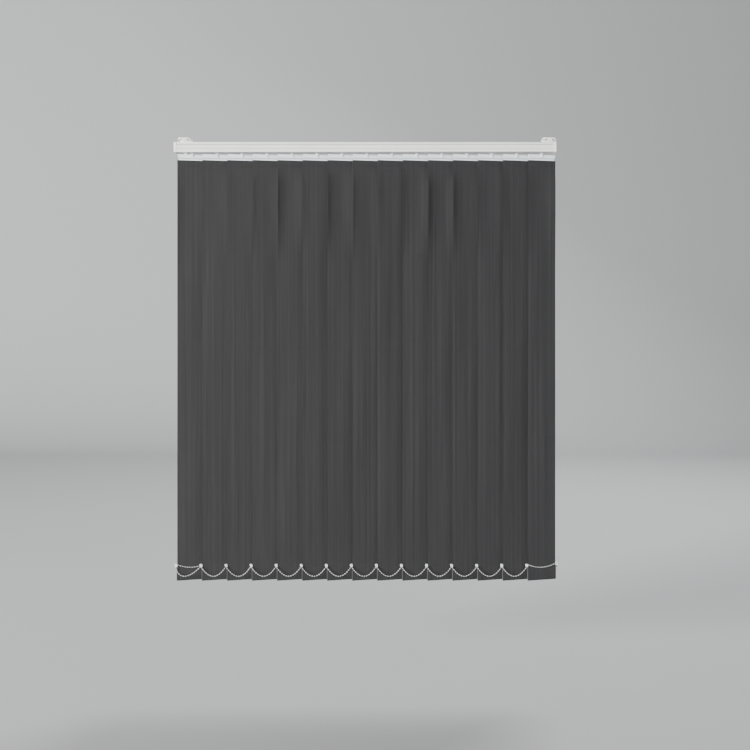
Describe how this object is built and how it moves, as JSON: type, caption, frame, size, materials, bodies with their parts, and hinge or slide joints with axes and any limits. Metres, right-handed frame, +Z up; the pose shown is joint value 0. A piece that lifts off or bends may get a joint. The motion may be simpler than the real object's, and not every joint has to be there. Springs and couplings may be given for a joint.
{
  "type": "vertical blind",
  "caption": "Ceiling-hung vertical blind with a slotted headrail, sliding carriers, turning grey cloth slats, white hangers and looped bead chains along the bottom.",
  "frame": {"origin": "on the ceiling plane, midway between the two bracket screws and over the middle slat", "axes": "+Z up, +X along the rail to the right seen from the room, the room lies towards -Y"},
  "size_m": [1.1675, 0.0432, 1.343],
  "materials": {
    "rail": "satin cream powder coat",
    "moulding": "moulded white plastic",
    "rod": "drawn aluminium",
    "drive": "moulded white plastic",
    "carrier": "moulded white plastic",
    "fittings": "moulded bluish white plastic",
    "cloth": "charcoal woven cloth with fine upright threads",
    "bead_chain": "white plastic beads on a thread"
  },
  "bodies": {
    "rail": {"headrail": "rail", "control_end": "moulding", "far_end_cap": "moulding", "bracket_left": "moulding", "bracket_right": "moulding", "carrier_01": "carrier"},
    "tilt_drive": {"tilt_rod": "rod", "chain_wheel": "drive"},
    "slat_01": {"slat_01": "cloth", "fittings_01": "fittings", "end_link_left": "bead_chain"},
    "carrier_02": {"carrier_02": "carrier"},
    "slat_02": {"slat_02": "cloth", "fittings_02": "fittings"},
    "carrier_03": {"carrier_03": "carrier"},
    "slat_03": {"slat_03": "cloth", "fittings_03": "fittings"},
    "carrier_04": {"carrier_04": "carrier"},
    "slat_04": {"slat_04": "cloth", "fittings_04": "fittings"},
    "carrier_05": {"carrier_05": "carrier"},
    "slat_05": {"slat_05": "cloth", "fittings_05": "fittings"},
    "carrier_06": {"carrier_06": "carrier"},
    "slat_06": {"slat_06": "cloth", "fittings_06": "fittings"},
    "carrier_07": {"carrier_07": "carrier"},
    "slat_07": {"slat_07": "cloth", "fittings_07": "fittings"},
    "carrier_08": {"carrier_08": "carrier"},
    "slat_08": {"slat_08": "cloth", "fittings_08": "fittings"},
    "carrier_09": {"carrier_09": "carrier"},
    "slat_09": {"slat_09": "cloth", "fittings_09": "fittings"},
    "carrier_10": {"carrier_10": "carrier"},
    "slat_10": {"slat_10": "cloth", "fittings_10": "fittings"},
    "carrier_11": {"carrier_11": "carrier"},
    "slat_11": {"slat_11": "cloth", "fittings_11": "fittings"},
    "carrier_12": {"carrier_12": "carrier"},
    "slat_12": {"slat_12": "cloth", "fittings_12": "fittings"},
    "carrier_13": {"carrier_13": "carrier"},
    "slat_13": {"slat_13": "cloth", "fittings_13": "fittings"},
    "carrier_14": {"carrier_14": "carrier"},
    "slat_14": {"slat_14": "cloth", "fittings_14": "fittings"},
    "carrier_15": {"carrier_15": "carrier"},
    "slat_15": {"slat_15": "cloth", "fittings_15": "fittings", "end_link_right": "bead_chain"},
    "front_chain": {"front_chain": "bead_chain"},
    "back_chain": {"back_chain": "bead_chain"}
  },
  "joints": [
    {"name": "carrier_02_slide", "type": "slide", "parent": "rail", "child": "carrier_02", "axis": [-1, 0, 0], "range_m": [0, 0.058]},
    {"name": "carrier_03_slide", "type": "slide", "parent": "rail", "child": "carrier_03", "axis": [-1, 0, 0], "range_m": [0, 0.116]},
    {"name": "carrier_04_slide", "type": "slide", "parent": "rail", "child": "carrier_04", "axis": [-1, 0, 0], "range_m": [0, 0.174]},
    {"name": "carrier_05_slide", "type": "slide", "parent": "rail", "child": "carrier_05", "axis": [-1, 0, 0], "range_m": [0, 0.232]},
    {"name": "carrier_06_slide", "type": "slide", "parent": "rail", "child": "carrier_06", "axis": [-1, 0, 0], "range_m": [0, 0.29]},
    {"name": "carrier_07_slide", "type": "slide", "parent": "rail", "child": "carrier_07", "axis": [-1, 0, 0], "range_m": [0, 0.348]},
    {"name": "carrier_08_slide", "type": "slide", "parent": "rail", "child": "carrier_08", "axis": [-1, 0, 0], "range_m": [0, 0.406]},
    {"name": "carrier_09_slide", "type": "slide", "parent": "rail", "child": "carrier_09", "axis": [-1, 0, 0], "range_m": [0, 0.464]},
    {"name": "carrier_10_slide", "type": "slide", "parent": "rail", "child": "carrier_10", "axis": [-1, 0, 0], "range_m": [0, 0.522]},
    {"name": "carrier_11_slide", "type": "slide", "parent": "rail", "child": "carrier_11", "axis": [-1, 0, 0], "range_m": [0, 0.58]},
    {"name": "carrier_12_slide", "type": "slide", "parent": "rail", "child": "carrier_12", "axis": [-1, 0, 0], "range_m": [0, 0.638]},
    {"name": "carrier_13_slide", "type": "slide", "parent": "rail", "child": "carrier_13", "axis": [-1, 0, 0], "range_m": [0, 0.696]},
    {"name": "carrier_14_slide", "type": "slide", "parent": "rail", "child": "carrier_14", "axis": [-1, 0, 0], "range_m": [0, 0.754]},
    {"name": "carrier_15_slide", "type": "slide", "parent": "rail", "child": "carrier_15", "axis": [-1, 0, 0], "range_m": [0, 0.812], "deforming": ["front_chain", "back_chain", "end_link_left"]},
    {"name": "slat_01_turn", "type": "hinge", "parent": "rail", "child": "slat_01", "pos_m": [-0.532, 0, -0.049], "axis": [0, 0, 1], "range_deg": [0, 152]},
    {"name": "slat_02_turn", "type": "hinge", "parent": "carrier_02", "child": "slat_02", "pos_m": [-0.456, 0, -0.049], "axis": [0, 0, 1], "range_deg": [0, 152]},
    {"name": "slat_03_turn", "type": "hinge", "parent": "carrier_03", "child": "slat_03", "pos_m": [-0.38, 0, -0.049], "axis": [0, 0, 1], "range_deg": [0, 152]},
    {"name": "slat_04_turn", "type": "hinge", "parent": "carrier_04", "child": "slat_04", "pos_m": [-0.304, 0, -0.049], "axis": [0, 0, 1], "range_deg": [0, 152]},
    {"name": "slat_05_turn", "type": "hinge", "parent": "carrier_05", "child": "slat_05", "pos_m": [-0.228, 0, -0.049], "axis": [0, 0, 1], "range_deg": [0, 152]},
    {"name": "slat_06_turn", "type": "hinge", "parent": "carrier_06", "child": "slat_06", "pos_m": [-0.152, 0, -0.049], "axis": [0, 0, 1], "range_deg": [0, 152]},
    {"name": "slat_07_turn", "type": "hinge", "parent": "carrier_07", "child": "slat_07", "pos_m": [-0.076, 0, -0.049], "axis": [0, 0, 1], "range_deg": [0, 152]},
    {"name": "slat_08_turn", "type": "hinge", "parent": "carrier_08", "child": "slat_08", "pos_m": [0, 0, -0.049], "axis": [0, 0, 1], "range_deg": [0, 152]},
    {"name": "slat_09_turn", "type": "hinge", "parent": "carrier_09", "child": "slat_09", "pos_m": [0.076, 0, -0.049], "axis": [0, 0, 1], "range_deg": [0, 152]},
    {"name": "slat_10_turn", "type": "hinge", "parent": "carrier_10", "child": "slat_10", "pos_m": [0.152, 0, -0.049], "axis": [0, 0, 1], "range_deg": [0, 152]},
    {"name": "slat_11_turn", "type": "hinge", "parent": "carrier_11", "child": "slat_11", "pos_m": [0.228, 0, -0.049], "axis": [0, 0, 1], "range_deg": [0, 152]},
    {"name": "slat_12_turn", "type": "hinge", "parent": "carrier_12", "child": "slat_12", "pos_m": [0.304, 0, -0.049], "axis": [0, 0, 1], "range_deg": [0, 152]},
    {"name": "slat_13_turn", "type": "hinge", "parent": "carrier_13", "child": "slat_13", "pos_m": [0.38, 0, -0.049], "axis": [0, 0, 1], "range_deg": [0, 152]},
    {"name": "slat_14_turn", "type": "hinge", "parent": "carrier_14", "child": "slat_14", "pos_m": [0.456, 0, -0.049], "axis": [0, 0, 1], "range_deg": [0, 152]},
    {"name": "slat_15_turn", "type": "hinge", "parent": "carrier_15", "child": "slat_15", "pos_m": [0.532, 0, -0.049], "axis": [0, 0, 1], "range_deg": [0, 152]},
    {"name": "rod_turn", "type": "hinge", "parent": "rail", "child": "tilt_drive", "pos_m": [0, 0.006, -0.0305], "axis": [1, 0, 0], "range_deg": [0, 608]},
    {"name": "front_chain_swing", "type": "hinge", "parent": "slat_08", "child": "front_chain", "pos_m": [-0.04735, -0.01181, -1.2985], "axis": [0, 0, 1], "range_deg": [-152, 0]},
    {"name": "back_chain_swing", "type": "hinge", "parent": "slat_08", "child": "back_chain", "pos_m": [0.04735, 0.01181, -1.2985], "axis": [0, 0, 1], "range_deg": [-152, 0]}
  ],
  "couplings": [
    {"joint": "carrier_02_slide", "follows": "carrier_15_slide", "ratio": 0.071429},
    {"joint": "carrier_03_slide", "follows": "carrier_15_slide", "ratio": 0.14286},
    {"joint": "carrier_04_slide", "follows": "carrier_15_slide", "ratio": 0.21429},
    {"joint": "carrier_05_slide", "follows": "carrier_15_slide", "ratio": 0.28571},
    {"joint": "carrier_06_slide", "follows": "carrier_15_slide", "ratio": 0.35714},
    {"joint": "carrier_07_slide", "follows": "carrier_15_slide", "ratio": 0.42857},
    {"joint": "carrier_08_slide", "follows": "carrier_15_slide", "ratio": 0.5},
    {"joint": "carrier_09_slide", "follows": "carrier_15_slide", "ratio": 0.57143},
    {"joint": "carrier_10_slide", "follows": "carrier_15_slide", "ratio": 0.64286},
    {"joint": "carrier_11_slide", "follows": "carrier_15_slide", "ratio": 0.71429},
    {"joint": "carrier_12_slide", "follows": "carrier_15_slide", "ratio": 0.78571},
    {"joint": "carrier_13_slide", "follows": "carrier_15_slide", "ratio": 0.85714},
    {"joint": "carrier_14_slide", "follows": "carrier_15_slide", "ratio": 0.92857},
    {"joint": "slat_02_turn", "follows": "slat_01_turn", "ratio": 1},
    {"joint": "slat_03_turn", "follows": "slat_01_turn", "ratio": 1},
    {"joint": "slat_04_turn", "follows": "slat_01_turn", "ratio": 1},
    {"joint": "slat_05_turn", "follows": "slat_01_turn", "ratio": 1},
    {"joint": "slat_06_turn", "follows": "slat_01_turn", "ratio": 1},
    {"joint": "slat_07_turn", "follows": "slat_01_turn", "ratio": 1},
    {"joint": "slat_08_turn", "follows": "slat_01_turn", "ratio": 1},
    {"joint": "slat_09_turn", "follows": "slat_01_turn", "ratio": 1},
    {"joint": "slat_10_turn", "follows": "slat_01_turn", "ratio": 1},
    {"joint": "slat_11_turn", "follows": "slat_01_turn", "ratio": 1},
    {"joint": "slat_12_turn", "follows": "slat_01_turn", "ratio": 1},
    {"joint": "slat_13_turn", "follows": "slat_01_turn", "ratio": 1},
    {"joint": "slat_14_turn", "follows": "slat_01_turn", "ratio": 1},
    {"joint": "slat_15_turn", "follows": "slat_01_turn", "ratio": 1},
    {"joint": "rod_turn", "follows": "slat_01_turn", "ratio": 4},
    {"joint": "front_chain_swing", "follows": "slat_01_turn", "ratio": -1},
    {"joint": "back_chain_swing", "follows": "slat_01_turn", "ratio": -1}
  ]
}
